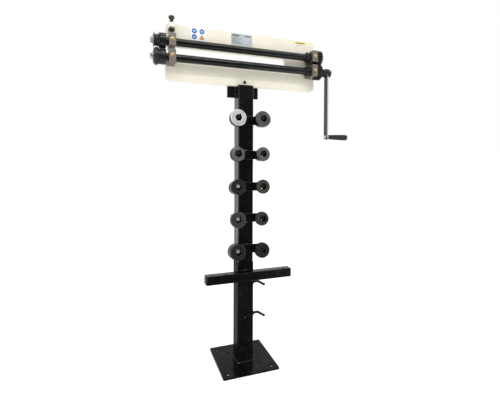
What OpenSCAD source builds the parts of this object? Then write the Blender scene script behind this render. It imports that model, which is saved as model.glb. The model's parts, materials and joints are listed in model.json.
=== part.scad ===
// Hand-cranked bead roller on a telescoping pedestal stand.
// Origin: centre of the base plate's underside, on the floor. +Z is up, +X points to the crank end
// and -Y to the operator. All lengths are in millimetres.

/* [Stand] */
// Side of the square base plate
base_w = 200; // [190:1:240]
// Thickness of the base plate
base_t = 6; // [5:1:10]
// Spacing of the four corner anchor holes
anchor_pitch = 156; // [140:1:160]
// Diameter of the corner anchor holes
anchor_d = 12; // [8:1:14]
// Spacing of the four inner fixing holes
inner_pitch = 90; // [86:1:100]
// Diameter of the inner fixing holes
inner_d = 10; // [6:1:12]
// Outside width of the fixed outer post tube
post_w = 58.4; // [58:0.2:60]
// Height of the top of the outer post tube
post_top = 360; // [340:1:370]
// Outside width of the telescoping mast tube
mast_w = 55; // [54:0.5:55.5]
// Height of the lower end of the mast tube
mast_bottom = 70; // [40:1:100]
// Height of the top of the mast tube
mast_top = 984; // [984:1:984]

/* [Tool bar] */
// Length of the cross bar on the front of the post
bar_len = 314; // [270:1:330]
// Height of the top of the cross bar
bar_top = 334; // [325:1:336]
// Height of the cross bar's section
bar_h = 31; // [28:1:34]
// Depth of the cross bar's section
bar_d = 30; // [26:1:34]

/* [Height clamps] */
// Heights of the two clamp screws
clamp_z = [165, 279]; // [150:1:285]
// Diameter of the clamp rods
clamp_rod_d = 9; // [8:1:10]
// Bend of the clamp rods
clamp_bend = 34; // [25:1:40]

/* [Head plate] */
// Length of the head plate
plate_len = 554; // [550:1:560]
// Height of the head plate
plate_h = 187; // [180:1:200]
// Thickness of the head plate
plate_t = 12; // [10:1:12]
// Height of the throat slot
throat_h = 40; // [36:1:42]
// End of the throat slot
throat_end_x = 159; // [140:1:160]

/* [Rolls] */
// Spacing of the two shafts, which is also the gears' pitch diameter
shaft_gap = 50.8; // [50.8:0.1:50.8]
// Height of the lower shaft
lower_z = 1051.2; // [1051.2:0.1:1051.2]
// Diameter of the shafts
shaft_d = 25.4; // [25.4:0.1:25.4]
// Distance of the shaft axes in front of the mast's axis
shaft_fwd = 32; // [32:1:32]
// Teeth on each drive gear
gear_teeth = 20; // [20:1:20]
// Bore of the forming dies
die_bore_d = 22; // [22:1:22]
// Width of the forming dies
die_w = 21; // [20:1:21]

/* [Crank] */
// Throw of the crank, from the shaft to the grip
crank_throw = 240; // [200:1:250]
// Length of the hand grip
grip_len = 82; // [70:1:90]

/* [Die rack] */
// Heights of the stored dies' front faces, from the top row down
row_z = [863, 743, 632, 522, 413]; // [400:1:870]
// Distance of each peg from the mast's centre line
peg_x = 44.5; // [44:0.5:46]
// Upward tilt of the pegs
peg_tilt = 7; // [5:1:9]
// Diameter of the pegs
peg_d = 15; // [14:1:16]
// Length of the stored dies
stored_len = 40; // [36:1:42]

/* [Hidden] */
$fn = 64;
hex_sides = 6;
eps = 0.01;
running = 0.05;
slide_gap = 0.3;

// Stand
post_cavity = mast_w + 2 * slide_gap;
post_front = -post_w / 2;
tube_corner = 5;
mast_wall = 3;
mast_front = -mast_w / 2;
cap_t = 5;
cap_rim = 1;
cap_slope = 4.5;
cap_lip = 8;
bar_wall = 2;
bar_x = 7;
bar_y = post_front - bar_d / 2;
bar_hole_x = [-129, -80, 134];
bar_hole_fwd = 7;
bar_hole_d = 8;

// Clamps
clamp_r = clamp_rod_d / 2;
clamp_knuckle_r = clamp_r + 0.3;
clamp_tip_x = mast_w / 2 + 0.2;
clamp_straight = 28.8;
clamp_arm = 29;
clamp_roll = 146;
weld_nut_af = 19;
weld_nut_h = 9;

// Head plate
plate_x0 = -273;
plate_z0 = mast_top;
plate_front = -2;
plate_back = plate_front + plate_t;
plate_corner = 14;
throat_corner = 9;
throat_z = lower_z + shaft_gap / 2;
bracket_t = 8;
bracket_wing = 57.5;
bracket_h = 39.5;
bracket_tongue = 40;
bracket_rise = 40;
head_bolt_z = 999;
head_bolt_x = 2;

// Shafts, blocks and bushes
upper_z = lower_z + shaft_gap;
shaft_r = shaft_d / 2;
shaft_y = -shaft_fwd;
block_l = 21;
block_h = 40;
block_y0 = -62;
front_block_x = -267;
rear_block_x = 243;
front_x = front_block_x + block_l / 2;
rear_x = rear_block_x + block_l / 2;
bush_r = 16;
bush_bore = shaft_r + running;
open_pivot_bore = shaft_r + 0.25;
swivel_r = 17;
swivel_seat = swivel_r + running;

// Guide of the moving front block and its screw
guide_w = 12;
guide_t = 10;
guide_z0 = 1098;
lug_z0 = 1143.5;
lug_z1 = 1156.5;
lug_w = 20;
lug_y0 = -56;
groove_gap = 0.3;
lift_up = 5;
lift_down = 1.2;
screw_r = 6;
screw_top = 1176;
screw_head_h = 8;
screw_head_af = 17;
lock_nut_h = 7;
lock_nut_af = 19;

// Rolls
nose_r = die_bore_d / 2;
die_x0 = -315;
die_x1 = die_x0 + die_w;
collar_x1 = -275;
collar_r = 24.5;
stop_x0 = 230;
stop_len = 11;
stop_r = 19;
gear_x0 = 266;
gear_w = 23;
gear_pd = shaft_gap;
key_w = 5;
key_low = 8.5;
key_high = 13.5;
upper_core_r = 18;
upper_flange_r = 25.3;
groove_half = 8;
lower_body_r = 24;
ridge_half = 6;
ridge_rise = 4;
die_washer_t = 2;
die_bolt_af = 17;
die_bolt_h = 6.5;
die_bolt_r = 5;

// Crank
hub_x0 = 302;
hub_x1 = 333;
hub_r = 14.5;
hub_bore = 10;
arm_x0 = 315;
arm_t = 8;
arm_w = 20;
grip_x0 = 327;
spindle_r = 5;
spindle_head_r = 8;
spindle_head_t = 3;
grip_root_r = 8;
grip_end_r = 10.8;

// Rack
peg_bar_t = 6;
peg_bar_h = 30;
peg_bar_w = 113;
peg_root_y = mast_front - peg_bar_t;
peg_r = peg_d / 2;
die_front_s = 49.4;
die_back_s = die_front_s - stored_len;
peg_shoulder_r = 10;
peg_len = die_front_s - 5;
bore_r = die_bore_d / 2;
hang = bore_r - peg_r - slide_gap;
peg_drop = die_front_s * sin(peg_tilt) - hang * cos(peg_tilt);

// Fasteners
m6_r = 3;
m6_hole = 3.2;
m6_af = 10;
m6_head = 4;

// Outer outlines of the stored dies as [radius, distance from the back face]
disc_die = [[20, 0], [20, 20], [28, 20], [28, 38], [26, 40]];
cone_die = [[18, 0], [18, 16], [25.5, 20], [25.5, 30], [24, 35], [17, 40]];
groove_die = [[24, 0], [24, 12], [21, 15], [21, 21], [26, 25], [26, 39], [25, 40]];
flat_die = [[18, 0], [18, 26], [25.5, 26], [27, 27.5], [27, 39], [26, 40]];
drum_die = [[25, 0], [28, 3], [28, 34], [26, 38.5], [24, 40]];
flange_die = [[22, 0], [22, 21], [27.5, 23], [27.5, 35], [22, 40]];
ring_die = [[20, 0], [20, 24], [24, 28], [24, 37], [21, 37], [21, 40]];
shoulder_die = [[16.5, 0], [16.5, 12], [20, 18], [20, 26], [24.3, 29], [24.3, 38], [22.5, 40]];
step_die = [[16.5, 0], [16.5, 10], [24.3, 20], [24.3, 28], [21.5, 30], [21.5, 36], [18, 40]];
bevel_die = [[18, 0], [18, 12], [26.4, 22], [26.4, 33], [22.5, 40]];
left_outlines = [disc_die, cone_die, groove_die, flat_die, drum_die];
right_outlines = [flange_die, ring_die, shoulder_die, step_die, bevel_die];
left_tints = ["gainsboro", "darkgray", "dimgray", "lightslategray", "dimgray"];
right_tints = ["darkgray", "gray", "rosybrown", "tan", "dimgray"];

// ---------- shared shapes ----------

// Rectangle with true round corners
module round_rect(w, h, r) {
    square([w - 2 * r, h], center = true);
    square([w, h - 2 * r], center = true);
    for (sx = [-1, 1], sy = [-1, 1])
        translate([sx * (w / 2 - r), sy * (h / 2 - r)])
            circle(r);
}

// Cylinder with a chamfer on both ends, along +Z
module chamfered_rod(r, h, c) {
    rotate_extrude()
        polygon([[0, 0], [r - c, 0], [r, c], [r, h - c], [r - c, h], [0, h]]);
}

// Ring with chamfered outer edges, along +Z
module chamfered_ring(r, bore, h, c) {
    rotate_extrude()
        polygon([[bore, 0], [r - c, 0], [r, c], [r, h - c], [r - c, h], [bore, h]]);
}

// Hexagon head or nut blank with its corners turned down on the top, along +Z
module hex_blank(af, h) {
    corner = af / cos(30) / 2;
    crown = corner - af / 2;
    intersection() {
        cylinder(r = corner, h = h, $fn = hex_sides);
        rotate_extrude()
            polygon([[0, 0], [corner, 0], [corner, h - crown], [af / 2 - 0.5, h], [0, h]]);
    }
}

// Places children with local +Z along +X, at a shaft's height
module along_shaft(x, z) {
    translate([x, shaft_y, z])
        rotate([0, 90, 0])
            children();
}

// Places children with local +Z towards -Y
module facing_front(x, y, z) {
    translate([x, y, z])
        rotate([90, 0, 0])
            children();
}

// Places children with local +Z towards +Y
module facing_back(x, y, z) {
    translate([x, y, z])
        rotate([-90, 0, 0])
            children();
}

// Hexagon bolt whose head sits at the origin and whose shank runs down -Z
module hex_bolt(r, len, af, head) {
    hex_blank(af, head);
    translate([0, 0, -len])
        cylinder(r = r, h = len + eps);
}

// ---------- stand ----------

module base_plate() {
    color("black")
        difference() {
            linear_extrude(base_t)
                round_rect(base_w, base_w, 4);
            for (sx = [-1, 1], sy = [-1, 1]) {
                translate([sx * anchor_pitch / 2, sy * anchor_pitch / 2, -1])
                    cylinder(d = anchor_d, h = base_t + 2);
                translate([sx * inner_pitch / 2, sy * inner_pitch / 2, -1])
                    cylinder(d = inner_d, h = base_t + 2);
            }
        }
}

module outer_tube() {
    color("black")
        difference() {
            translate([0, 0, base_t])
                linear_extrude(post_top - base_t)
                    round_rect(post_w, post_w, tube_corner);
            translate([0, 0, base_t - 1])
                linear_extrude(post_top - base_t + 2)
                    round_rect(post_cavity, post_cavity, tube_corner - 1.6);
            for (z = clamp_z)
                translate([0, 0, z])
                    rotate([0, 90, 0])
                        cylinder(r = clamp_r + running, h = post_w);
        }
}

module clamp_nuts() {
    color("black")
        for (z = clamp_z)
            translate([post_w / 2, 0, z])
                rotate([0, 90, 0])
                    difference() {
                        hex_blank(weld_nut_af, weld_nut_h);
                        translate([0, 0, -1])
                            cylinder(r = clamp_r + running, h = weld_nut_h + 2);
                    }
}

module tool_bar() {
    half = bar_len / 2 - cap_t;
    color("black")
        translate([bar_x, bar_y, bar_top - bar_h / 2])
            difference() {
                translate([-half, 0, 0])
                    rotate([90, 0, 90])
                        linear_extrude(2 * half)
                            round_rect(bar_d, bar_h, 3);
                translate([-half - 1, 0, 0])
                    rotate([90, 0, 90])
                        linear_extrude(2 * half + 2)
                            round_rect(bar_d - 2 * bar_wall, bar_h - 2 * bar_wall, 1.5);
                for (x = bar_hole_x)
                    translate([x - bar_x, -bar_hole_fwd, 0])
                        cylinder(d = bar_hole_d, h = bar_h);
            }
}

// Push-in plugs whose outer edge is cut back all round
module tool_bar_caps() {
    color("dimgray")
        for (side = [-1, 1])
            translate([bar_x + side * (bar_len / 2 - cap_t), bar_y, bar_top - bar_h / 2])
                rotate([0, side * 90, 0]) {
                    hull() {
                        linear_extrude(cap_rim)
                            square([bar_h, bar_d], center = true);
                        linear_extrude(cap_t)
                            square([bar_h - 2 * cap_slope, bar_d - 2 * cap_slope], center = true);
                    }
                    translate([0, 0, -cap_lip])
                        linear_extrude(cap_lip + eps)
                            round_rect(bar_h - 2 * bar_wall - 0.2, bar_d - 2 * bar_wall - 0.2, 1.5);
                }
}

// ---------- height clamps ----------

// Bent rod that screws through the post's wall, from its tip outwards along +Z
module clamp_rod() {
    rotate_extrude()
        polygon([[0, 0], [clamp_r - 1.5, 0], [clamp_r, 1.5], [clamp_r, clamp_straight], [0, clamp_straight]]);
    translate([0, 0, clamp_straight]) {
        sphere(clamp_knuckle_r);
        rotate([0, clamp_bend, 0])
            rotate_extrude()
                polygon([
                    [0, 0], [clamp_r, 0], [clamp_r, clamp_arm - 1],
                    [clamp_r - 1, clamp_arm], [0, clamp_arm]
                ]);
    }
}

module clamp_handle(z) {
    color("black")
        translate([clamp_tip_x, 0, z])
            rotate([0, 90, 0])
                rotate([0, 0, clamp_roll - 180])
                    clamp_rod();
}

// ---------- mast ----------

module mast_tube() {
    inside = mast_w - 2 * mast_wall;
    color("black")
        difference() {
            translate([0, 0, mast_bottom])
                linear_extrude(mast_top - mast_bottom)
                    round_rect(mast_w, mast_w, 4);
            translate([0, 0, mast_bottom - 1])
                linear_extrude(mast_top - mast_bottom + 2)
                    round_rect(inside, inside, 2);
            translate([-mast_w, plate_back, mast_top - bracket_h])
                cube([2 * mast_w, bracket_t, bracket_h + 1]);
        }
}

// Plate slotted into the mast's top, with a tongue that rises behind the head plate
module head_bracket() {
    color("black")
        difference() {
            facing_front(0, plate_back + bracket_t, mast_top - bracket_h)
                linear_extrude(bracket_t) {
                    translate([-bracket_wing, 0])
                        square([2 * bracket_wing, bracket_h]);
                    translate([-bracket_tongue, 0])
                        square([2 * bracket_tongue, bracket_h + bracket_rise]);
                }
            facing_front(head_bolt_x, plate_back + bracket_t + 1, head_bolt_z)
                cylinder(r = m6_hole, h = bracket_t + 2);
        }
}

module head_bolt() {
    color("dimgray")
        facing_front(head_bolt_x, plate_front, head_bolt_z)
            hex_bolt(m6_r, plate_t + bracket_t + 7, m6_af, m6_head);
}

module head_nut() {
    color("dimgray")
        facing_back(head_bolt_x, plate_back + bracket_t, head_bolt_z)
            difference() {
                hex_blank(m6_af, 5);
                translate([0, 0, -1])
                    cylinder(r = m6_r, h = 7);
            }
}

// Places children in a peg's frame: origin on the rack bar, +Z out along the peg
module on_peg(side, row) {
    translate([side * peg_x, peg_root_y, row_z[row] - peg_drop])
        rotate([90 - peg_tilt, 0, 0])
            children();
}

module peg_bars() {
    color("black")
        for (row = [0 : len(row_z) - 1])
            facing_front(0, mast_front, row_z[row] - peg_drop)
                linear_extrude(peg_bar_t)
                    round_rect(peg_bar_w, peg_bar_h, 3);
}

// Tilted pegs with a root shoulder that stops the die clear of the bar
module pegs() {
    color("black")
        for (side = [-1, 1], row = [0 : len(row_z) - 1])
            difference() {
                on_peg(side, row)
                    translate([0, 0, -3])
                        rotate_extrude()
                            polygon([
                                [0, 0], [peg_shoulder_r, 0], [peg_shoulder_r, die_back_s + 3 - slide_gap],
                                [peg_r, die_back_s + 3 - slide_gap], [peg_r, peg_len + 1.5],
                                [peg_r - 1.5, peg_len + 3], [0, peg_len + 3]
                            ]);
                translate([side * peg_x - 20, peg_root_y, row_z[row] - 40])
                    cube([40, 20, 60]);
            }
}

// ---------- head plate ----------

module frame_plate() {
    throat_z0 = throat_z - throat_h / 2;
    color("ivory")
        difference() {
            facing_front(0, plate_back, 0)
                linear_extrude(plate_t)
                    difference() {
                        translate([plate_x0 + plate_len / 2, plate_z0 + plate_h / 2])
                            round_rect(plate_len, plate_h, plate_corner);
                        translate([plate_x0 - 1, throat_z0])
                            square([throat_end_x - throat_corner - plate_x0 + 1, throat_h]);
                        translate([throat_end_x - throat_corner - eps, throat_z0 + throat_corner])
                            square([throat_corner + eps, throat_h - 2 * throat_corner]);
                        for (z = [throat_z0 + throat_corner, throat_z0 + throat_h - throat_corner])
                            translate([throat_end_x - throat_corner, z])
                                circle(throat_corner);
                    }
            facing_front(head_bolt_x, plate_back + 1, head_bolt_z)
                cylinder(r = m6_hole, h = plate_t + 2);
            plate_bolt_holes();
            guide_slot(plate_back + 1, plate_t + 2);
        }
}

// Bolt positions on the plate, as [x, z]
lower_front_bolts = [[front_x, lower_z - 14], [front_x, lower_z]];
lower_rear_bolts = [[rear_x, lower_z - 14], [rear_x, lower_z + 14]];
upper_rear_bolts = [[rear_x, upper_z - 14], [rear_x, upper_z + 14]];
block_bolt_list = concat(lower_front_bolts, lower_rear_bolts, upper_rear_bolts);
bracket_bolt_list = [[front_x, 1132.5], [front_x, 1150]];
guide_bolt_z = upper_z + 14;

module plate_bolt_holes() {
    for (p = concat(block_bolt_list, bracket_bolt_list))
        facing_front(p[0], plate_back + 1, p[1])
            cylinder(r = m6_hole, h = plate_t + 2);
}

// Upright slot for the bolt that keeps the moving block on its guide
module guide_slot(y, depth) {
    slot_low = guide_bolt_z - lift_down - 1;
    slot_high = guide_bolt_z + lift_up + 1;
    facing_front(front_x, y, 0)
        linear_extrude(depth) {
            translate([-m6_hole, slot_low])
                square([2 * m6_hole, slot_high - slot_low]);
            for (z = [slot_low, slot_high])
                translate([0, z])
                    circle(m6_hole);
        }
}

// Lug that carries the adjusting screw, on an upright bar that guides the moving block
module screw_bracket() {
    color("ivory")
        difference() {
            union() {
                translate([front_x - guide_w / 2, plate_front - guide_t, guide_z0])
                    cube([guide_w, guide_t, lug_z0 - guide_z0 + 1]);
                translate([front_x - lug_w / 2, 0, lug_z0])
                    linear_extrude(lug_z1 - lug_z0) {
                        translate([0, lug_y0 + lug_w / 2])
                            square([lug_w, plate_front - lug_y0 - lug_w / 2]);
                        translate([lug_w / 2, lug_y0 + lug_w / 2])
                            circle(lug_w / 2);
                    }
            }
            translate([front_x, shaft_y, lug_z0 - 1])
                cylinder(r = screw_r + running, h = lug_z1 - lug_z0 + 2);
            for (p = bracket_bolt_list)
                facing_front(p[0], plate_front + 1, p[1])
                    cylinder(r = m6_r, h = 9);
            guide_slot(plate_front + 1, guide_t + 2);
        }
}

module bracket_bolts() {
    color("dimgray")
        for (p = bracket_bolt_list)
            facing_back(p[0], plate_back, p[1])
                hex_bolt(m6_r, plate_t + 7.9, m6_af, m6_head);
}

module screw_lock_nut() {
    color("dimgray")
        translate([front_x, shaft_y, lug_z0])
            rotate([180, 0, 0])
                difference() {
                    hex_blank(lock_nut_af, lock_nut_h);
                    translate([0, 0, -1])
                        cylinder(r = screw_r + running, h = lock_nut_h + 2);
                }
}

// ---------- bearing blocks ----------

// Plain block around one shaft bearing, with its oil hole in front
module bearing_block(x, z, back) {
    difference() {
        translate([x, block_y0, z - block_h / 2])
            cube([block_l, back - block_y0, block_h]);
        facing_front(x + block_l / 2, shaft_y, z)
            cylinder(r = m6_r, h = shaft_y - block_y0 + 1);
    }
}

module block_bolt_bores(bolts) {
    for (p = bolts)
        facing_front(p[0], plate_front + 1, p[1])
            cylinder(r = m6_r, h = 13);
}

module bush_bore(x, z) {
    along_shaft(x - 1, z)
        cylinder(r = bush_r, h = block_l + 2);
}

module lower_front_block() {
    color("darkgray")
        difference() {
            bearing_block(front_block_x, lower_z, plate_front);
            bush_bore(front_block_x, lower_z);
            block_bolt_bores(lower_front_bolts);
        }
}

module lower_rear_block() {
    color("darkgray")
        difference() {
            bearing_block(rear_block_x, lower_z, plate_front);
            bush_bore(rear_block_x, lower_z);
            block_bolt_bores(lower_rear_bolts);
        }
}

// Its bearing seat is a hollow sphere, so that the upper shaft can tilt
module upper_rear_block() {
    color("darkgray")
        difference() {
            bearing_block(rear_block_x, upper_z, plate_front);
            along_shaft(rear_x, upper_z)
                sphere(swivel_seat);
            block_bolt_bores(upper_rear_bolts);
        }
}

// Moving block, grooved at the back to straddle the guide bar
module upper_front_block() {
    groove_w = guide_w + 2 * groove_gap;
    back = plate_front - groove_gap;
    color("darkgray")
        difference() {
            bearing_block(front_block_x, upper_z, back);
            bush_bore(front_block_x, upper_z);
            translate([front_x - groove_w / 2, plate_front - guide_t - groove_gap, upper_z - block_h])
                cube([groove_w, guide_t + 1, 2 * block_h]);
            facing_front(front_x, plate_front, guide_bolt_z)
                cylinder(r = m6_r, h = guide_t + 8);
        }
}

module plain_bush(x, z, bore) {
    along_shaft(x, z)
        difference() {
            cylinder(r = bush_r, h = block_l);
            translate([0, 0, -1])
                cylinder(r = bore, h = block_l + 2);
        }
}

module lower_bushes() {
    color("peru") {
        plain_bush(front_block_x, lower_z, bush_bore);
        plain_bush(rear_block_x, lower_z, bush_bore);
    }
}

module upper_front_bush() {
    color("peru")
        plain_bush(front_block_x, upper_z, open_pivot_bore);
}

module upper_swivel_bush() {
    half = block_l / 2 - 0.25;
    color("peru")
        translate([rear_x, shaft_y, upper_z])
            rotate([0, 90, 0])
                difference() {
                    intersection() {
                        sphere(swivel_r);
                        translate([0, 0, -half])
                            cylinder(r = swivel_r + 1, h = 2 * half);
                    }
                    translate([0, 0, -swivel_r])
                        cylinder(r = bush_bore, h = 2 * swivel_r);
                }
}

// Domed oiler with a short stem, pressed into a block's front face
module oiler(x, z) {
    facing_front(x, block_y0, z)
        rotate_extrude()
            polygon([
                [0, -8], [m6_r, -8], [m6_r, 0], [6.6, 0], [6.6, 1.2], [5.8, 2],
                for (a = [0 : 15 : 60]) [2 + 3.4 * cos(a), 2 + 3.8 * sin(a)],
                [1.6, 5.6], [0, 5.6]
            ]);
}

module block_oilers() {
    color("goldenrod") {
        oiler(front_x, lower_z);
        oiler(rear_x, lower_z);
        oiler(rear_x, upper_z);
    }
}

module upper_front_oiler() {
    color("goldenrod")
        oiler(front_x, upper_z);
}

module block_bolts() {
    color("dimgray")
        for (p = block_bolt_list)
            facing_back(p[0], plate_back, p[1])
                hex_bolt(m6_r, plate_t + 11.9, m6_af, m6_head);
}

module guide_bolt() {
    clear = 0.2;
    color("dimgray")
        facing_back(front_x, plate_back + clear, guide_bolt_z)
            hex_bolt(m6_r, plate_t + guide_t + 8, 13, 3);
}

module adjust_screw() {
    block_top = upper_z + block_h / 2;
    color("silver")
        translate([front_x, shaft_y, block_top]) {
            translate([0, 0, 0.1])
                chamfered_rod(screw_r, screw_top - block_top, 1);
            translate([0, 0, screw_top - block_top])
                hex_blank(screw_head_af, screw_head_h);
        }
}

// ---------- labels ----------

// Thin film with round corners on the head plate's front
module label(x0, x1, z0, z1) {
    facing_front((x0 + x1) / 2, plate_front, (z0 + z1) / 2)
        linear_extrude(0.3)
            round_rect(x1 - x0, z1 - z0, 2);
}

module safety_label() {
    color("white")
        label(-191, -138, 1128, 1168);
}

module data_label() {
    color("lightsteelblue")
        label(-48, 30, 1128, 1168);
}

module notice_label() {
    color("gold")
        label(201, 244, 1150, 1168);
}

// ---------- shafts and what turns with them ----------

module key_slots(z, list) {
    for (s = list)
        along_shaft(s[0], z)
            translate([-key_high, -key_w / 2, 0])
                cube([key_high - key_low, key_w, s[1]]);
}

key_places = [[die_x0 + 2, die_w - 3], [gear_x0 + 1, gear_w - 2]];

module roll_shaft(z, profile) {
    difference() {
        along_shaft(0, z)
            rotate_extrude()
                polygon(profile);
        key_slots(z, key_places);
        along_shaft(die_x0 - 1, z)
            cylinder(r = die_bolt_r, h = 26);
    }
}

module upper_shaft() {
    end = gear_x0 + gear_w + 2;
    color("black")
        roll_shaft(upper_z, [
            [0, die_x0 + 0.5], [nose_r - 1, die_x0 + 0.5], [nose_r, die_x0 + 1.5], [nose_r, die_x1],
            [shaft_r, die_x1], [shaft_r, gear_x0 - 1], [nose_r, gear_x0 - 1],
            [nose_r, end - 1], [nose_r - 1, end], [0, end]
        ]);
}

module lower_shaft() {
    color("black")
        roll_shaft(lower_z, [
            [0, die_x0 + 0.5], [nose_r - 1, die_x0 + 0.5], [nose_r, die_x0 + 1.5], [nose_r, die_x1],
            [shaft_r, die_x1], [shaft_r, gear_x0 - 1], [nose_r, gear_x0 - 1],
            [nose_r, hub_x0 - 1], [hub_bore, hub_x0 - 1],
            [hub_bore, hub_x1 - 2], [0, hub_x1 - 2]
        ]);
}

module front_collar(z) {
    along_shaft(die_x1, z)
        chamfered_ring(collar_r, shaft_r, collar_x1 - die_x1, 1);
}

module upper_collar() {
    color("black")
        front_collar(upper_z);
}

module lower_collar() {
    color("black")
        front_collar(lower_z);
}

module stop_collar(z) {
    along_shaft(stop_x0, z)
        chamfered_ring(stop_r, shaft_r, stop_len, 1);
}

module upper_stop_collar() {
    color("black")
        stop_collar(upper_z);
}

module lower_stop_collar() {
    color("black")
        stop_collar(lower_z);
}

module keyed_bore(x, len, z) {
    along_shaft(x - 1, z) {
        cylinder(r = nose_r, h = len + 2);
        translate([-key_high - 0.2, -key_w / 2, 0])
            cube([key_high, key_w, len + 2]);
    }
}

// Female die: a round groove between two sharp flanges
module upper_die() {
    mid = die_w / 2;
    depth = upper_flange_r - upper_core_r;
    color("dimgray")
        difference() {
            along_shaft(die_x0, upper_z)
                rotate_extrude()
                    polygon([
                        [0, 0], [17, 0], [upper_flange_r, mid - groove_half - 0.6],
                        for (a = [0 : 15 : 180])
                            [upper_flange_r - depth * sin(a), mid - groove_half * cos(a)],
                        [upper_flange_r, mid + groove_half + 0.6], [23, die_w], [0, die_w]
                    ]);
            keyed_bore(die_x0, die_w, upper_z);
        }
}

// Male die: a half-round ridge that rolls in the upper die's groove
module lower_die() {
    mid = die_w / 2;
    color("dimgray")
        difference() {
            along_shaft(die_x0, lower_z)
                rotate_extrude()
                    polygon([
                        [0, 0], [17, 0], [lower_body_r - 1, 1.5], [lower_body_r, 2.5],
                        for (a = [0 : 15 : 180])
                            [lower_body_r + ridge_rise * sin(a), mid - ridge_half * cos(a)],
                        [lower_body_r, die_w - 1], [lower_body_r - 1, die_w], [0, die_w]
                    ]);
            keyed_bore(die_x0, die_w, lower_z);
        }
}

// Involute spur gear outline
pressure_angle = 20;
gear_module = gear_pd / gear_teeth;
gear_base_r = gear_pd / 2 * cos(pressure_angle);
gear_root_r = gear_pd / 2 - 1.25 * gear_module;
gear_tip_r = gear_pd / 2 + gear_module;
gear_backlash = 0.45;
flank_steps = 4;
rad = 180 / PI;

function involute_of(a) = tan(a) * rad - a;
function half_tooth(r) =
    90 / gear_teeth - gear_backlash / gear_pd / 2 * rad
    + involute_of(pressure_angle) - involute_of(acos(gear_base_r / r));
function polar(r, a) = [r * cos(a), r * sin(a)];
function flank_r(k) = gear_base_r + (gear_tip_r - gear_base_r) * k / flank_steps;
function tooth(c) = concat(
    [polar(gear_root_r, c - half_tooth(gear_base_r))],
    [for (k = [0 : flank_steps]) polar(flank_r(k), c - half_tooth(flank_r(k)))],
    [for (k = [flank_steps : -1 : 0]) polar(flank_r(k), c + half_tooth(flank_r(k)))],
    [polar(gear_root_r, c + half_tooth(gear_base_r))]
);

module spur_gear(z, phase) {
    difference() {
        along_shaft(gear_x0, z)
            linear_extrude(gear_w)
                polygon([for (i = [0 : gear_teeth - 1]) each tooth(i * 360 / gear_teeth + phase)]);
        keyed_bore(gear_x0, gear_w, z);
    }
}

module upper_gear() {
    color("dimgray")
        spur_gear(upper_z, 180 / gear_teeth);
}

module lower_gear() {
    color("dimgray")
        spur_gear(lower_z, 0);
}

module shaft_keys(z) {
    key_slots(z, key_places);
}

module upper_keys() {
    color("silver")
        shaft_keys(upper_z);
}

module lower_keys() {
    color("silver")
        shaft_keys(lower_z);
}

// Washer and bolt that hold a die on its shaft's nose
module die_bolt(z) {
    seat = die_washer_t + running;
    along_shaft(die_x0, z)
        rotate([180, 0, 0]) {
            chamfered_ring(12, die_bolt_r + 0.3, die_washer_t, 0.4);
            translate([0, 0, seat])
                hex_bolt(die_bolt_r, seat + 22, die_bolt_af, die_bolt_h);
        }
}

module upper_die_bolt() {
    color("silver")
        die_bolt(upper_z);
}

module lower_die_bolt() {
    color("silver")
        die_bolt(lower_z);
}

// ---------- crank ----------

module crank_hub() {
    color("black")
        along_shaft(hub_x0, lower_z)
            chamfered_ring(hub_r, hub_bore, hub_x1 - hub_x0, 1.5);
}

module crank_arm() {
    grip_z = lower_z - crank_throw;
    color("dimgray")
        difference() {
            translate([arm_x0, shaft_y, 0]) {
                translate([0, -arm_w / 2, grip_z])
                    cube([arm_t, arm_w, crank_throw]);
                translate([0, 0, grip_z])
                    rotate([0, 90, 0])
                        cylinder(r = arm_w / 2, h = arm_t);
            }
            along_shaft(hub_x0 - 1, lower_z)
                cylinder(r = hub_r, h = hub_x1 - hub_x0 + 2);
            along_shaft(arm_x0 - 1, grip_z)
                cylinder(r = spindle_r, h = arm_t + 2);
        }
}

// Riveted spindle with a flat head that keeps the grip on
module grip_spindle() {
    rivet_r = 7;
    rivet_t = 2;
    head_x = grip_x0 + grip_len - 9;
    color("silver")
        along_shaft(0, lower_z - crank_throw)
            rotate_extrude()
                polygon([
                    [0, arm_x0 - rivet_t], [rivet_r - 1.5, arm_x0 - rivet_t], [rivet_r, arm_x0 - 0.5],
                    [rivet_r, arm_x0], [spindle_r, arm_x0],
                    [spindle_r, arm_x0 + arm_t], [spindle_r + 2, arm_x0 + arm_t],
                    [spindle_r + 2, grip_x0 - slide_gap], [spindle_r, grip_x0 - slide_gap],
                    [spindle_r, head_x], [spindle_head_r, head_x],
                    [spindle_head_r, head_x + spindle_head_t - 1],
                    [spindle_head_r - 1, head_x + spindle_head_t], [0, head_x + spindle_head_t]
                ]);
}

module crank_grip() {
    well = grip_len - 9 - slide_gap;
    well_r = spindle_head_r + slide_gap;
    color("black")
        along_shaft(grip_x0, lower_z - crank_throw)
            rotate_extrude()
                polygon([
                    [spindle_r + running, 0], [grip_root_r - 1, 0], [grip_root_r, 1],
                    [grip_root_r + 0.6, 10], [grip_end_r - 0.4, grip_len * 0.6],
                    [grip_end_r, grip_len - 8],
                    [grip_end_r - 0.2, grip_len - 3], [grip_end_r - 1.2, grip_len - 0.8],
                    [grip_end_r - 2, grip_len], [well_r, grip_len],
                    [well_r, well], [spindle_r + running, well]
                ]);
}

// ---------- stored dies ----------

module stored_die(side, row) {
    outline = side < 0 ? left_outlines[row] : right_outlines[row];
    tint = side < 0 ? left_tints[row] : right_tints[row];
    color(tint)
        on_peg(side, row)
            translate([0, -hang, die_back_s])
                difference() {
                    rotate_extrude()
                        polygon(concat([[bore_r, 0]], outline, [[bore_r, stored_len]]));
                    rotate([0, 0, 55])
                        translate([0, -key_w / 2, -1])
                            cube([bore_r + 3, key_w, stored_len + 2]);
                }
}

// ---------- nodes ----------

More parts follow.
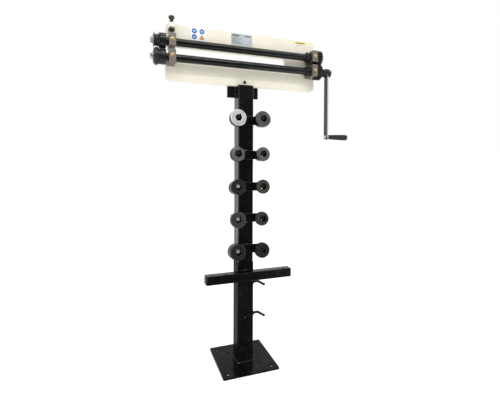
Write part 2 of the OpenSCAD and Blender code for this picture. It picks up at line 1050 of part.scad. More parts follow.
base_plate();
outer_tube();
clamp_nuts();
tool_bar();
tool_bar_caps();
mast_tube();
head_bracket();
head_bolt();
head_nut();
peg_bars();
pegs();
frame_plate();
screw_bracket();
bracket_bolts();
screw_lock_nut();
lower_front_block();
lower_rear_block();
upper_rear_block();
lower_bushes();
block_oilers();
block_bolts();
safety_label();
data_label();
notice_label();
upper_front_block();
upper_front_bush();
upper_front_oiler();
guide_bolt();
adjust_screw();
upper_swivel_bush();
upper_shaft();
upper_collar();
upper_die();
upper_gear();
upper_stop_collar();
upper_keys();
upper_die_bolt();
lower_shaft();
lower_collar();
lower_die();
lower_gear();
lower_stop_collar();
lower_keys();
lower_die_bolt();
crank_hub();
crank_arm();
grip_spindle();
crank_grip();
clamp_handle(clamp_z[0]);  // clamp_handle_lower
clamp_handle(clamp_z[1]);  // clamp_handle_upper
stored_die(-1, 0);  // stored_die_left_1
stored_die(-1, 1);  // stored_die_left_2
stored_die(-1, 2);  // stored_die_left_3
stored_die(-1, 3);  // stored_die_left_4
stored_die(-1, 4);  // stored_die_left_5
stored_die(1, 0);  // stored_die_right_1
stored_die(1, 1);  // stored_die_right_2
stored_die(1, 2);  // stored_die_right_3
stored_die(1, 3);  // stored_die_right_4
stored_die(1, 4);  // stored_die_right_5
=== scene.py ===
"""The looks of a hand-cranked bead roller on a pedestal stand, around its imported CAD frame.

The axes are the frame's own: +Z up, +X to the crank end, -Y to the operator. Lengths are in metres, or
in millimetres where MM multiplies them or a comment says so.
"""

import json
import math
import random

import bmesh
import bpy
from mathutils import Matrix, Vector

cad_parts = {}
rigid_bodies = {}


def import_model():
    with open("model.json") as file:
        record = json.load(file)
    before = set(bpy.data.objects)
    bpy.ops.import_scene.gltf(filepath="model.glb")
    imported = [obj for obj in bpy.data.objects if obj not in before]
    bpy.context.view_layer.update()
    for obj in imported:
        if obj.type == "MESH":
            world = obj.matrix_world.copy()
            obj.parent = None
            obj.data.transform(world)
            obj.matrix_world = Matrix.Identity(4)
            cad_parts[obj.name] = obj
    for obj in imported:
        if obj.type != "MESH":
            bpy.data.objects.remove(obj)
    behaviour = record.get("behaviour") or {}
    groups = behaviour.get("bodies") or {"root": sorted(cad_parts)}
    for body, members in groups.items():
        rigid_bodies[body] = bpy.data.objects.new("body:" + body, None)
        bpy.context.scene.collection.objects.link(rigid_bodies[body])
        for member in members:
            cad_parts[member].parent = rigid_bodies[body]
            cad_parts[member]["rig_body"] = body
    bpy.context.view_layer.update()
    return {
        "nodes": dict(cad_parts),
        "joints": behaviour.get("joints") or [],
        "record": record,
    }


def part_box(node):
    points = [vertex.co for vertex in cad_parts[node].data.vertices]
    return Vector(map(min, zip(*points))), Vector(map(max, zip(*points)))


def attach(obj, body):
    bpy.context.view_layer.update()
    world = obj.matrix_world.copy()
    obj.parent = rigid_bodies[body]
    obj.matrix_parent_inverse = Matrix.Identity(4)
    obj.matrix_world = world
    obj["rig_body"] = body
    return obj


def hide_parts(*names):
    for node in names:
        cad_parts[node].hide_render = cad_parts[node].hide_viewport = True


MM = 0.001
X_AXIS, Y_AXIS, Z_AXIS = Vector((1, 0, 0)), Vector((0, 1, 0)), Vector((0, 0, 1))
NO_TURN = Matrix.Identity(4)

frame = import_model()
random.seed(7)
joints = {joint["name"]: joint for joint in frame["joints"]}
UPPER_AXIS = Vector(joints["upper_shaft_spin"]["pos_m"])
LOWER_AXIS = Vector(joints["crank_turn"]["pos_m"])
PEG_DIRECTION = Vector(joints["stored_die_left_1_pull"]["axis"])


# ---------- materials ----------


class Finish:
    """A material built one node at a time. Most methods give the output of the node they add last."""

    def __init__(self, name, **constants):
        self.material = bpy.data.materials.new(name)
        self.material.use_nodes = True
        self.tree = self.material.node_tree
        self.tree.nodes.clear()
        self.shader = self.tree.nodes.new("ShaderNodeBsdfPrincipled")
        output = self.tree.nodes.new("ShaderNodeOutputMaterial")
        self.tree.links.new(self.shader.outputs["BSDF"], output.inputs["Surface"])
        self.place = self.add("ShaderNodeTexCoord").outputs["Object"]
        self.feed(self.shader, constants)

    def feed(self, node, values):
        for key, value in values.items():
            socket = node.inputs[key.replace("_", " ")] if isinstance(key, str) else node.inputs[key]
            if isinstance(value, bpy.types.NodeSocket):
                self.tree.links.new(value, socket)
            else:
                socket.default_value = value

    def add(self, kind, inputs=None, **settings):
        node = self.tree.nodes.new(kind)
        for key, value in settings.items():
            setattr(node, key, value)
        self.feed(node, inputs or {})
        return node

    def wire(self, **sockets):
        self.feed(self.shader, sockets)

    def stretch(self, scale, place=None):
        node = self.add("ShaderNodeVectorMath", {0: place or self.place, 1: scale}, operation="MULTIPLY")
        return node.outputs["Vector"]

    def noise(self, scale, detail=3.0, roughness=0.55, place=None):
        inputs = {"Vector": place or self.place, "Scale": scale, "Detail": detail, "Roughness": roughness}
        return self.add("ShaderNodeTexNoise", inputs).outputs["Fac"]

    def remap(self, value, low, high, out_low=0.0, out_high=1.0):
        inputs = {0: value, 1: low, 2: high, 3: out_low, 4: out_high}
        return self.add("ShaderNodeMapRange", inputs, clamp=True).outputs["Result"]

    def calc(self, operation, a, b=0.0):
        return self.add("ShaderNodeMath", {0: a, 1: b}, operation=operation).outputs["Value"]

    def mix(self, factor, a, b):
        node = self.add("ShaderNodeMix", data_type="RGBA")
        self.feed(node, {0: factor, 6: a, 7: b})
        return node.outputs[2]

    def edges(self, radius):
        """1 on edges and corners, falling to 0 about a radius away."""
        rounded = self.add("ShaderNodeBevel", {"Radius": radius}, samples=6).outputs["Normal"]
        true = self.add("ShaderNodeNewGeometry").outputs["Normal"]
        dot = self.add("ShaderNodeVectorMath", {0: rounded, 1: true}, operation="DOT_PRODUCT")
        return self.remap(dot.outputs["Value"], 0.995, 0.86)

    def facing(self, direction):
        """Cosine of the angle between the surface and a direction in the world."""
        normal = self.add("ShaderNodeNewGeometry").outputs["Normal"]
        node = self.add("ShaderNodeVectorMath", {0: normal, 1: direction}, operation="DOT_PRODUCT")
        return node.outputs["Value"]

    def bump(self, height, strength, distance):
        inputs = {"Height": height, "Strength": strength, "Distance": distance}
        return self.add("ShaderNodeBump", inputs).outputs["Normal"]

    def radius(self):
        """Distance from the piece's own Z axis, and the place along it, as two outputs."""
        split = self.add("ShaderNodeSeparateXYZ", {0: self.place})
        x2 = self.calc("MULTIPLY", split.outputs["X"], split.outputs["X"])
        y2 = self.calc("MULTIPLY", split.outputs["Y"], split.outputs["Y"])
        return self.calc("SQRT", self.calc("ADD", x2, y2)), split.outputs["Z"]


def rgb(red, green, blue):
    return (red, green, blue, 1.0)


def enamel(name, colour, shade, rough, chip, chip_level, grime, coat=0.0, specular=0.4):
    """Sprayed enamel: orange peel, slow tone drift, rubbed edges and a film of dust."""
    f = Finish(name, Coat_Weight=coat, Coat_Roughness=0.08, Specular_IOR_Level=specular)
    drift = f.remap(f.noise(9, 4), 0.35, 0.7)
    tone = f.mix(drift, colour, shade)
    smudge = f.remap(f.noise(38, 5, 0.65), 0.5, 0.72, 0, grime[1])
    tone = f.mix(smudge, tone, grime[0])
    worn = f.calc("MULTIPLY", f.edges(0.0022), f.remap(f.noise(260, 4, 0.7), chip_level, chip_level + 0.08))
    tone = f.mix(worn, tone, chip)
    streak = f.remap(f.noise(60, 5, 0.7, f.stretch((1, 1, 0.25))), 0.3, 0.75, rough[0], rough[1])
    peel = f.noise(420, 2, 0.4)
    pores = f.noise(2600, 2)
    height = f.calc("SUBTRACT", f.calc("ADD", peel, f.calc("MULTIPLY", pores, 0.12)), worn)
    f.wire(Base_Color=tone, Roughness=f.calc("ADD", streak, f.calc("MULTIPLY", worn, 0.25)))
    f.wire(Normal=f.bump(height, 0.25, 0.00035), Metallic=f.calc("MULTIPLY", worn, 0.6))
    return f.material


def turned(
        name, colour, bright, rough, ring_scale, wear=0.55, stain=None, metal=1.0, rings=0.35, faced=0.0,
        side=None):
    """Lathe-turned metal: fine rings round the piece's own axis, bright edges and oily patches.

    A piece with a side colour has bare ends, square to the pegs, and is blackened round its outside.
    """
    f = Finish(name, Metallic=metal, Specular_IOR_Level=0.5, Anisotropic=faced)
    if faced:
        f.wire(Tangent=f.add("ShaderNodeTangent", direction_type="RADIAL", axis="Z").outputs["Tangent"])
    radius, along = f.radius()
    across = f.calc("MULTIPLY", radius, ring_scale)
    lines = f.add("ShaderNodeCombineXYZ", {0: across, 1: f.calc("MULTIPLY", along, ring_scale)})
    fine = f.noise(1.0, 3, 0.7, lines.outputs["Vector"])
    coarse = f.noise(0.18, 2, 0.5, lines.outputs["Vector"])
    patches = f.remap(f.noise(70, 5, 0.65), 0.42, 0.68)
    tone = f.mix(f.remap(fine, 0.35, 0.7, 0, rings), colour, bright)
    tone = f.mix(f.calc("MULTIPLY", patches, 0.55), tone, stain or colour)
    rubbed = f.calc("MULTIPLY", f.edges(0.0014), f.remap(f.noise(420, 4, 0.7), 0.3, 0.6, 0.25, 1.0))
    tone = f.mix(f.calc("MULTIPLY", rubbed, wear), tone, bright)
    if side:
        tone = f.mix(f.remap(f.calc("ABSOLUTE", f.facing(PEG_DIRECTION)), 0.35, 0.7), side, tone)
    gloss = f.remap(f.calc("ADD", patches, coarse), 0.3, 1.4, rough[0], rough[1])
    f.wire(Base_Color=tone, Roughness=gloss)
    f.wire(Normal=f.bump(f.calc("ADD", fine, coarse), 0.5, 0.00006))
    return f.material


def stored_die(name, colour, bright, stain, metal=0.8, rough=(0.24, 0.4), wear=0.8, faced=0.7):
    """A die off the machine: bare turned ends with a fan of light, blackened round its outside."""
    return turned(
        name, colour, bright, rough, ring_scale=1300, wear=wear, stain=stain, metal=metal, faced=faced,
        side=DIE_SIDE)


def milled(name, colour, bright, rough, stretch, stain):
    """Milled steel: parallel cutter marks, slight discolouring, clean bright edges."""
    f = Finish(name, Metallic=0.85, Specular_IOR_Level=0.5)
    marks = f.noise(900, 3, 0.7, f.stretch(stretch))
    blotch = f.remap(f.noise(90, 5, 0.6), 0.4, 0.7)
    tone = f.mix(f.remap(marks, 0.35, 0.7), colour, bright)
    tone = f.mix(f.calc("MULTIPLY", blotch, 0.5), tone, stain)
    tone = f.mix(f.calc("MULTIPLY", f.edges(0.0012), 0.5), tone, bright)
    f.wire(Base_Color=tone, Roughness=f.remap(blotch, 0, 1, rough[0], rough[1]))
    f.wire(Normal=f.bump(marks, 0.4, 0.00008))
    return f.material


def moulded(name, colour, shade, rough, grain):
    """Moulded plastic: fine spark texture, scuffs, and edges lightened by rubbed wear and a painted
    highlight.
    """
    f = Finish(name, Specular_IOR_Level=0.2)
    spark = f.noise(grain, 2, 0.5)
    scuff = f.remap(f.noise(120, 5, 0.7), 0.52, 0.7)
    tone = f.mix(scuff, colour, shade)
    # Edges mixed towards the lighter colour: rubbed wear and a painted highlight along the rims
    rubbed = f.calc("MULTIPLY", f.edges(0.0018), 0.5)
    tone = f.mix(rubbed, tone, shade)
    f.wire(Base_Color=tone, Roughness=f.remap(scuff, 0, 1, rough[0], rough[1]))
    f.wire(Normal=f.bump(spark, 0.35, 0.00012))
    return f.material


def bar_with_edge_highlight(name, colour, shade, bare):
    """Dark flat bar; the crank arm's two narrow faces get a painted highlight of bare metal, but for a strip
    on their -X side.
    """
    f = Finish(name, Specular_IOR_Level=0.4)
    low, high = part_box("crank_arm")
    half = (high.y - low.y) / 2
    split = f.add("ShaderNodeSeparateXYZ", {0: f.place})
    offset = f.calc("ABSOLUTE", f.calc("SUBTRACT", split.outputs["Y"], (low.y + high.y) / 2))
    narrow = f.remap(offset, half - 0.6 * MM, half - 0.1 * MM)
    narrow = f.calc("MULTIPLY", narrow, f.remap(split.outputs["X"], low.x + 2 * MM, low.x + 3 * MM))
    wear = f.remap(f.noise(150, 5, 0.7, f.stretch((1, 1, 0.2))), 0.3, 0.5, 0.35, 1)
    # The narrow faces' painted highlight of bare bright metal, broken up by streaks
    bright = f.calc("MULTIPLY", narrow, wear)
    smudge = f.remap(f.noise(60, 5, 0.65), 0.4, 0.7)
    f.wire(Base_Color=f.mix(bright, f.mix(smudge, colour, shade), bare), Metallic=bright)
    f.wire(Roughness=f.remap(smudge, 0, 1, 0.22, 0.38), Normal=f.bump(f.noise(900, 3), 0.3, 0.0001))
    return f.material


def bare_ended(name, colour, shade, bare, top):
    """Black rod paint. On the -X side, the front ends of the pegs that lie below top are left bare."""
    f = Finish(name, Specular_IOR_Level=0.3)
    scratches = f.noise(500, 4, 0.7, f.stretch((1, 1, 0.3)))
    split = f.add("ShaderNodeSeparateXYZ", {0: f.place})
    left = f.calc("LESS_THAN", split.outputs["X"], 0.0)
    chosen = f.calc("MULTIPLY", left, f.calc("LESS_THAN", split.outputs["Z"], top))
    end = f.remap(f.facing(PEG_DIRECTION), 0.6, 0.9, 0, chosen)
    end = f.calc("MULTIPLY", end, f.remap(scratches, 0.3, 0.55, 0.3, 0.9))
    f.wire(Base_Color=f.mix(end, f.mix(scratches, colour, shade), bare), Metallic=end)
    f.wire(Roughness=f.remap(scratches, 0.3, 0.7, 0.3, 0.5), Normal=f.bump(scratches, 0.3, 0.0001))
    return f.material


def film(name, colour, shade, rough=(0.25, 0.4)):
    """Printed vinyl film: faint mottling and a slightly uneven surface."""
    f = Finish(name, Specular_IOR_Level=0.45, Coat_Weight=0.2, Coat_Roughness=0.15)
    mottle = f.remap(f.noise(160, 4, 0.6), 0.4, 0.7)
    f.wire(Base_Color=f.mix(mottle, colour, shade), Roughness=f.remap(mottle, 0, 1, rough[0], rough[1]))
    f.wire(Normal=f.bump(f.noise(90, 2), 0.15, 0.0004))
    return f.material


def weld_metal(name, colour, heat):
    """Painted-over weld: lumpy, with a few bright spots of bare spatter that are painted glints."""
    f = Finish(name, Coat_Weight=0.1, Coat_Roughness=0.2, Specular_IOR_Level=0.25)
    lumps = f.noise(700, 4, 0.65)
    glint_spots = f.remap(f.noise(130, 3, 0.6), 0.6, 0.64)
    tone = f.mix(f.remap(lumps, 0.35, 0.7), colour, heat)
    # Bright half-metallic spatter spots, painted in as glints
    f.wire(Base_Color=f.mix(glint_spots, tone, rgb(0.42, 0.42, 0.4)), Metallic=f.calc("MULTIPLY", glint_spots, 0.5))
    f.wire(Roughness=f.remap(lumps, 0.3, 0.7, 0.2, 0.45))
    f.wire(Normal=f.bump(lumps, 0.5, 0.0004))
    return f.material


DIE_SIDE = rgb(0.012, 0.012, 0.0115)
# The left pegs below this height have bare front ends
BARE_PEG_TOP = 690 * MM
BLACK = rgb(0.0022, 0.0024, 0.0026)
MATERIALS = {
    "black_paint": enamel(
        "mast_enamel", BLACK, rgb(0.0035, 0.0037, 0.0039), rough=(0.12, 0.26), chip=rgb(0.12, 0.115, 0.11),
        chip_level=0.62, grime=(rgb(0.02, 0.02, 0.02), 0.3), specular=0.36),
    "dull_black": enamel(
        "post_enamel", rgb(0.004, 0.0042, 0.0038), rgb(0.007, 0.0072, 0.006), rough=(0.26, 0.42),
        chip=rgb(0.1, 0.095, 0.09), chip_level=0.6, grime=(rgb(0.028, 0.028, 0.023), 0.35), specular=0.02),
    "bar_paint": enamel(
        "bar_enamel", rgb(0.002, 0.0022, 0.0018), rgb(0.0035, 0.0037, 0.003), rough=(0.16, 0.3),
        chip=rgb(0.1, 0.095, 0.09), chip_level=0.6, grime=(rgb(0.02, 0.02, 0.017), 0.3), specular=0.25),
    "base_paint": enamel(
        "base_enamel", rgb(0.003, 0.0034, 0.0026), rgb(0.0055, 0.006, 0.005), rough=(0.09, 0.24),
        chip=rgb(0.14, 0.13, 0.12), chip_level=0.55, grime=(rgb(0.026, 0.026, 0.022), 0.5), specular=0.06),
    "cream_paint": enamel(
        "cream_enamel", rgb(0.82, 0.785, 0.66), rgb(0.77, 0.735, 0.615), rough=(0.3, 0.42),
        chip=rgb(0.3, 0.28, 0.25), chip_level=0.6, grime=(rgb(0.62, 0.58, 0.47), 0.3), coat=0.1),
    # Both plastics have a painted highlight on their edges
    "black_plastic": moulded(
        "cap_plastic", rgb(0.01, 0.01, 0.009), rgb(0.085, 0.085, 0.078), rough=(0.3, 0.5), grain=1800),
    "grip_plastic": moulded(
        "grip_plastic", rgb(0.022, 0.02, 0.0175), rgb(0.04, 0.037, 0.033), rough=(0.36, 0.5), grain=1400),
    "shaft_steel": turned(
        "shaft_black", rgb(0.004, 0.004, 0.0045), rgb(0.07, 0.07, 0.078), rough=(0.12, 0.26), ring_scale=2600,
        wear=0.5, stain=rgb(0.009, 0.0085, 0.008), metal=0.2, rings=0.1),
    "black_oxide": turned(
        "collar_black", rgb(0.006, 0.006, 0.007), rgb(0.13, 0.13, 0.14), rough=(0.18, 0.34), ring_scale=1800,
        wear=0.6, stain=rgb(0.01, 0.0095, 0.009), metal=0.2, rings=0.12),
    "gear_steel": turned(
        "gear_steel", rgb(0.008, 0.008, 0.0085), rgb(0.16, 0.16, 0.16), rough=(0.22, 0.42), ring_scale=1500,
        wear=0.6, stain=rgb(0.02, 0.016, 0.012), metal=0.4, rings=0.15),
    "die_steel": turned(
        "roll_die_black", rgb(0.006, 0.006, 0.007), rgb(0.22, 0.22, 0.23), rough=(0.16, 0.34),
        ring_scale=1500, wear=0.75, stain=rgb(0.01, 0.01, 0.011), metal=0.3, rings=0.1),
    "machined_steel": milled(
        "block_steel", rgb(0.18, 0.165, 0.14), rgb(0.36, 0.335, 0.29), rough=(0.32, 0.5),
        stretch=(1, 1, 0.05), stain=rgb(0.15, 0.125, 0.1)),
    "bronze": turned(
        "bush_bronze", rgb(0.4, 0.24, 0.1), rgb(0.62, 0.42, 0.2), rough=(0.25, 0.4), ring_scale=1800),
    "brass": turned(
        "oiler_brass", rgb(0.72, 0.53, 0.24), rgb(0.92, 0.78, 0.48), rough=(0.16, 0.34), ring_scale=1500,
        wear=0.6, stain=rgb(0.4, 0.27, 0.11)),
    "zinc": turned(
        "zinc_plate", rgb(0.5, 0.52, 0.52), rgb(0.85, 0.86, 0.86), rough=(0.15, 0.32), ring_scale=1400,
        wear=0.7, stain=rgb(0.42, 0.42, 0.34)),
    "dark_fastener": turned(
        "dark_fastener", rgb(0.008, 0.008, 0.009), rgb(0.2, 0.2, 0.2), rough=(0.25, 0.42), ring_scale=1400,
        wear=0.7, stain=rgb(0.018, 0.015, 0.012), metal=0.35, rings=0.15),
    # The crank arm's narrow faces carry a painted highlight of bare bright metal
    "arm_steel": bar_with_edge_highlight(
        "arm_dark_steel", rgb(0.016, 0.014, 0.013), rgb(0.04, 0.035, 0.032), bare=rgb(0.72, 0.72, 0.7)),
    "die_bright": stored_die(
        "die_bright", rgb(0.85, 0.85, 0.84), rgb(0.97, 0.97, 0.96), rgb(0.66, 0.65, 0.62), metal=1.0,
        wear=0.7, faced=0.0),
    "die_grey": stored_die(
        "die_grey", rgb(0.09, 0.092, 0.09), rgb(0.5, 0.51, 0.5), rgb(0.045, 0.043, 0.04), metal=0.85),
    "die_blue": stored_die(
        "die_blue", rgb(0.055, 0.056, 0.06), rgb(0.36, 0.37, 0.39), rgb(0.03, 0.031, 0.033)),
    "die_olive": stored_die(
        "die_olive", rgb(0.075, 0.075, 0.07), rgb(0.37, 0.37, 0.345), rgb(0.03, 0.03, 0.028)),
    "die_dark": stored_die(
        "die_dark", rgb(0.009, 0.0095, 0.0085), rgb(0.13, 0.133, 0.125), rgb(0.02, 0.019, 0.016), metal=0.6,
        rough=(0.25, 0.42), faced=0.0),
    "die_worn": stored_die(
        "die_worn", rgb(0.13, 0.13, 0.124), rgb(0.42, 0.42, 0.4), rgb(0.04, 0.036, 0.032)),
    "die_brown": stored_die(
        "die_brown", rgb(0.042, 0.038, 0.033), rgb(0.4, 0.37, 0.33), rgb(0.026, 0.02, 0.016), metal=0.75,
        rough=(0.27, 0.44)),
    "die_mixed": stored_die(
        "die_mixed", rgb(0.018, 0.017, 0.015), rgb(0.24, 0.23, 0.21), rgb(0.02, 0.017, 0.014), metal=0.65,
        rough=(0.27, 0.44), faced=0.0),
    "peg_paint": bare_ended(
        "peg_paint", BLACK, rgb(0.008, 0.008, 0.0075), bare=rgb(0.62, 0.62, 0.6), top=BARE_PEG_TOP),
    "label_white": film("label_white", rgb(0.84, 0.86, 0.87), rgb(0.78, 0.8, 0.82)),
    "label_grey": film("label_grey", rgb(0.46, 0.5, 0.53), rgb(0.39, 0.43, 0.46), rough=(0.2, 0.32)),
    "label_yellow": film("label_yellow", rgb(0.86, 0.62, 0.06), rgb(0.8, 0.55, 0.05)),
    # The weld beads carry painted glints on their spatter
    "weld": weld_metal("weld_black", rgb(0.006, 0.006, 0.006), rgb(0.014, 0.014, 0.014)),
}
SIGN_BLUE = film("sign_blue", rgb(0.03, 0.16, 0.5), rgb(0.03, 0.13, 0.42))
SIGN_ORANGE = film("sign_orange", rgb(0.72, 0.3, 0.03), rgb(0.62, 0.24, 0.03))
SIGN_INK = film("sign_ink", rgb(0.12, 0.14, 0.17), rgb(0.16, 0.18, 0.2))
SIGN_SOFT = film("sign_soft", rgb(0.62, 0.66, 0.7), rgb(0.56, 0.6, 0.64))
SIGN_PALE = film("sign_pale", rgb(0.86, 0.85, 0.76), rgb(0.8, 0.79, 0.7))
# Nodes whose finish differs from that of their slot
OWN_FINISH = {
    "base_plate": "base_paint", "outer_tube": "dull_black", "clamp_nuts": "dull_black",
    "tool_bar": "bar_paint", "crank_arm": "arm_steel", "pegs": "peg_paint",
    "stored_die_right_1": "die_olive", "stored_die_right_2": "die_worn", "stored_die_right_4": "die_mixed",
}


# ---------- places ----------


def axes_from(direction):
    """A turn that puts local Z along direction."""
    return direction.normalized().to_track_quat("Z", "Y").to_matrix().to_4x4()


def axis_place(node, direction):
    """Where a round node's own axis lies: local Z along it, the origin at its low end."""
    stance = axes_from(direction)
    back = stance.inverted()
    points = [back @ v.co for v in frame["nodes"][node].data.vertices]
    low = Vector(min(p[i] for p in points) for i in range(3))
    high = Vector(max(p[i] for p in points) for i in range(3))
    return stance @ Matrix.Translation(((low.x + high.x) / 2, (low.y + high.y) / 2, low.z))


# The adjusting screw's plain shank
SCREW_R = 6.0 * MM
SCREW_LENGTH = 54.0 * MM


# ---------- refined copies of the CAD nodes ----------


def soften(piece, width, segments=2, angle=28):
    """Bevels a mesh's real edges and gives it face-weighted normals, with the modifiers applied."""
    if width:
        bevel = piece.modifiers.new("Bevel", "BEVEL")
        bevel.width = width
        bevel.segments = segments
        bevel.limit_method = "ANGLE"
        bevel.angle_limit = math.radians(angle)
        bevel.use_clamp_overlap = True
    weighted = piece.modifiers.new("Normals", "WEIGHTED_NORMAL")
    weighted.keep_sharp = True
    for face in piece.data.polygons:
        face.use_smooth = True
    piece.data.set_sharp_from_angle(angle=math.radians(60 if width else 30))
    depsgraph = bpy.context.evaluated_depsgraph_get()
    final = bpy.data.meshes.new_from_object(piece.evaluated_get(depsgraph))
    piece.modifiers.clear()
    piece.data = final


def link(name, mesh, place, material, body):
    piece = bpy.data.objects.new(name, mesh)
    bpy.context.scene.collection.objects.link(piece)
    piece.matrix_world = place
    piece.data.materials.clear()
    piece.data.materials.append(material)
    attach(piece, body)
    return piece


def remove_shank(shape):
    """Takes away the adjusting screw's plain shank, where make_thread puts its thread."""
    shank = [f for f in shape.faces if all(v.co.xy.length < SCREW_R + 0.02 * MM for v in f.verts)]
    shank = [f for f in shank if f.calc_center_median().z < SCREW_LENGTH]
    bmesh.ops.delete(shape, geom=shank, context="FACES")


def refine(node, width, place=NO_TURN):
    """A copy of a CAD node with clean flats and softened edges, which stands for the node."""
    source = frame["nodes"][node]
    slot = next(s["material_slot"] for s in frame["record"]["subparts"] if s["node"] == node)
    shape = bmesh.new()
    shape.from_mesh(source.data)
    bmesh.ops.remove_doubles(shape, verts=shape.verts, dist=2e-6)
    bmesh.ops.dissolve_limit(shape, angle_limit=math.radians(0.6), verts=shape.verts, edges=shape.edges)
    bmesh.ops.transform(shape, matrix=place.inverted(), verts=shape.verts)
    if node == "adjust_screw":
        remove_shank(shape)
    mesh = bpy.data.meshes.new(node + "_finished")
    shape.to_mesh(mesh)
    shape.free()
    finish = MATERIALS[OWN_FINISH.get(node, slot)]
    piece = link(node + "_finished", mesh, place, finish, source["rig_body"])
    soften(piece, width)
    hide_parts(node)
    return piece


# Width of each node's softened edges, in millimetres
FLAT_NODES = {
    "base_plate": 1.0, "outer_tube": 0.4, "clamp_nuts": 0.4, "tool_bar": 0.3, "tool_bar_caps": 0.5,
    "mast_tube": 0.5, "head_bracket": 0.8, "peg_bars": 0.8, "pegs": 0.3, "frame_plate": 1.2,
    "screw_bracket": 0.8, "lower_front_block": 0.7, "lower_rear_block": 0.7, "upper_rear_block": 0.7,
    "upper_front_block": 0.7, "crank_arm": 1.0,
    "safety_label": 0.0, "data_label": 0.0, "notice_label": 0.0,
    "clamp_handle_lower": 0.2, "clamp_handle_upper": 0.2, "upper_keys": 0.2, "lower_keys": 0.2,
}
TURNED_NODES = [
    (X_AXIS, {
        "upper_shaft": 0.3, "lower_shaft": 0.3, "upper_collar": 0.3, "lower_collar": 0.3,
        "upper_stop_collar": 0.3, "lower_stop_collar": 0.3, "upper_die": 0.25, "lower_die": 0.25,
        "upper_gear": 0.35, "lower_gear": 0.35, "crank_hub": 0.3, "grip_spindle": 0.2, "crank_grip": 0.3,
        "upper_die_bolt": 0.3, "lower_die_bolt": 0.3, "lower_bushes": 0.2, "upper_front_bush": 0.2,
        "upper_swivel_bush": 0.2,
    }),
    (Y_AXIS, {
        "head_bolt": 0.3, "head_nut": 0.3, "bracket_bolts": 0.25, "block_bolts": 0.25, "guide_bolt": 0.25,
        "block_oilers": 0.15, "upper_front_oiler": 0.15,
    }),
    (Z_AXIS, {"adjust_screw": 0.3, "screw_lock_nut": 0.3}),
    (PEG_DIRECTION, {f"stored_die_{side}_{i}": 0.5 for side in ("left", "right") for i in range(1, 6)}),
]

for node, width in FLAT_NODES.items():
    refine(node, width * MM)
for direction, nodes in TURNED_NODES:
    for node, width in nodes.items():
        refine(node, width * MM, axis_place(node, direction))


# ---------- pieces the CAD leaves out ----------


def mesh_of(name, shape, smooth=True):
    bmesh.ops.recalc_face_normals(shape, faces=shape.faces)
    for face in shape.faces:
        face.smooth = smooth
    mesh = bpy.data.meshes.new(name)
    shape.to_mesh(mesh)
    shape.free()
    return mesh


def at(x, y, z):
    """A point given in millimetres."""
    return Vector((x, y, z)) * MM


def ring_path(centre, axis, radius, count=48):
    turn_to = axes_from(axis)
    points = []
    for i in range(count + 1):
        angle = 2 * math.pi * i / count
        points.append(centre + turn_to @ Vector((radius * math.cos(angle), radius * math.sin(angle), 0)))
    return points


def weld(name, body, width, paths, ripple=1.5 * MM):
    """Rippled beads along the given paths, merged into one piece."""
    sides = 10
    shape = bmesh.new()
    for path in paths:
        samples = []
        for start, end in zip(path, path[1:]):
            steps = max(1, round((end - start).length / (ripple / 3)))
            samples += [start.lerp(end, i / steps) for i in range(steps)]
        samples.append(path[-1])
        previous = None
        for i, point in enumerate(samples):
            tangent = samples[min(i + 1, len(samples) - 1)] - samples[max(i - 1, 0)]
            turn_to = axes_from(tangent)
            swell = (0.8, 1.0, 1.12)[i % 3] * random.uniform(0.93, 1.07)
            taper = 0.45 if i in (0, len(samples) - 1) else 1.0
            loop = []
            for k in range(sides):
                angle = 2 * math.pi * k / sides
                offset = Vector((math.cos(angle), math.sin(angle), 0)) * width * swell * taper
                loop.append(shape.verts.new(point + turn_to @ offset))
            if previous:
                for k in range(sides):
                    after = (k + 1) % sides
                    shape.faces.new((previous[k], previous[after], loop[after], loop[k]))
            else:
                shape.faces.new(loop)
            previous = loop
        shape.faces.new(previous)
    return link(name, mesh_of(name, shape), NO_TURN, MATERIALS["weld"], body)


def make_post_welds():
    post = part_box("outer_tube")[1].x
    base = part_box("base_plate")[1].z
    side, corner = post + 0.4 * MM, post - 4.2 * MM
    turns = [(-side, -corner), (-side, corner), (-corner, side), (corner, side)]
    turns += [(side, corner), (side, -corner), (corner, -side), (-corner, -side), (-side, -corner)]
    foot = [Vector((x, y, base + 0.6 * MM)) for x, y in turns]
    weld("post_foot_weld", "stand", 3.2 * MM, [foot])
    low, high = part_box("tool_bar")
    edges = (high.z + 0.2 * MM, low.z - 0.2 * MM)
    bar = [[Vector((-corner, -side, z)), Vector((corner, -side, z))] for z in edges]
    weld("tool_bar_weld", "stand", 2.0 * MM, bar)
    nuts = []
    for name in ("clamp_lower_turn", "clamp_upper_turn"):
        centre = Vector((post + 0.2 * MM, 0, joints[name]["pos_m"][2]))
        nuts.append(ring_path(centre, X_AXIS, 10.4 * MM))
    weld("clamp_nut_weld", "stand", 1.5 * MM, nuts, 1.2 * MM)
    seam = [at(-25, -29.1, 158), at(-6, -29.1, 165), at(22, -29.1, 170)]
    weld("post_seam_mark", "stand", 0.7 * MM, [seam], 1.2 * MM)


def make_bracket_welds():
    wings = [[at(side * 28.2, 9.2, 946), at(side * 28.2, 9.2, 982)] for side in (-1, 1)]
    tongue = [[at(side * 40.8, 10.8, 986), at(side * 40.8, 10.8, 1022)] for side in (-1, 1)]
    weld("head_bracket_weld", "mast", 1.9 * MM, wings + tongue)


def make_peg_welds():
    """Along both long edges of every peg bar, and round every peg's root, from the top row down."""
    edges, roots = [], []
    for height in reversed(peg_heights()):
        for z in (height - 15.3 * MM, height + 15.3 * MM):
            edges.append([Vector((-24 * MM, -28.1 * MM, z)), Vector((24 * MM, -28.1 * MM, z))])
        for side in (-1, 1):
            roots.append(ring_path(Vector((side * 44.5 * MM, -33.7 * MM, height)), Y_AXIS, 10.4 * MM))
    weld("peg_bar_weld", "mast", 1.8 * MM, edges)
    weld("peg_root_weld", "mast", 1.4 * MM, roots, 1.2 * MM)


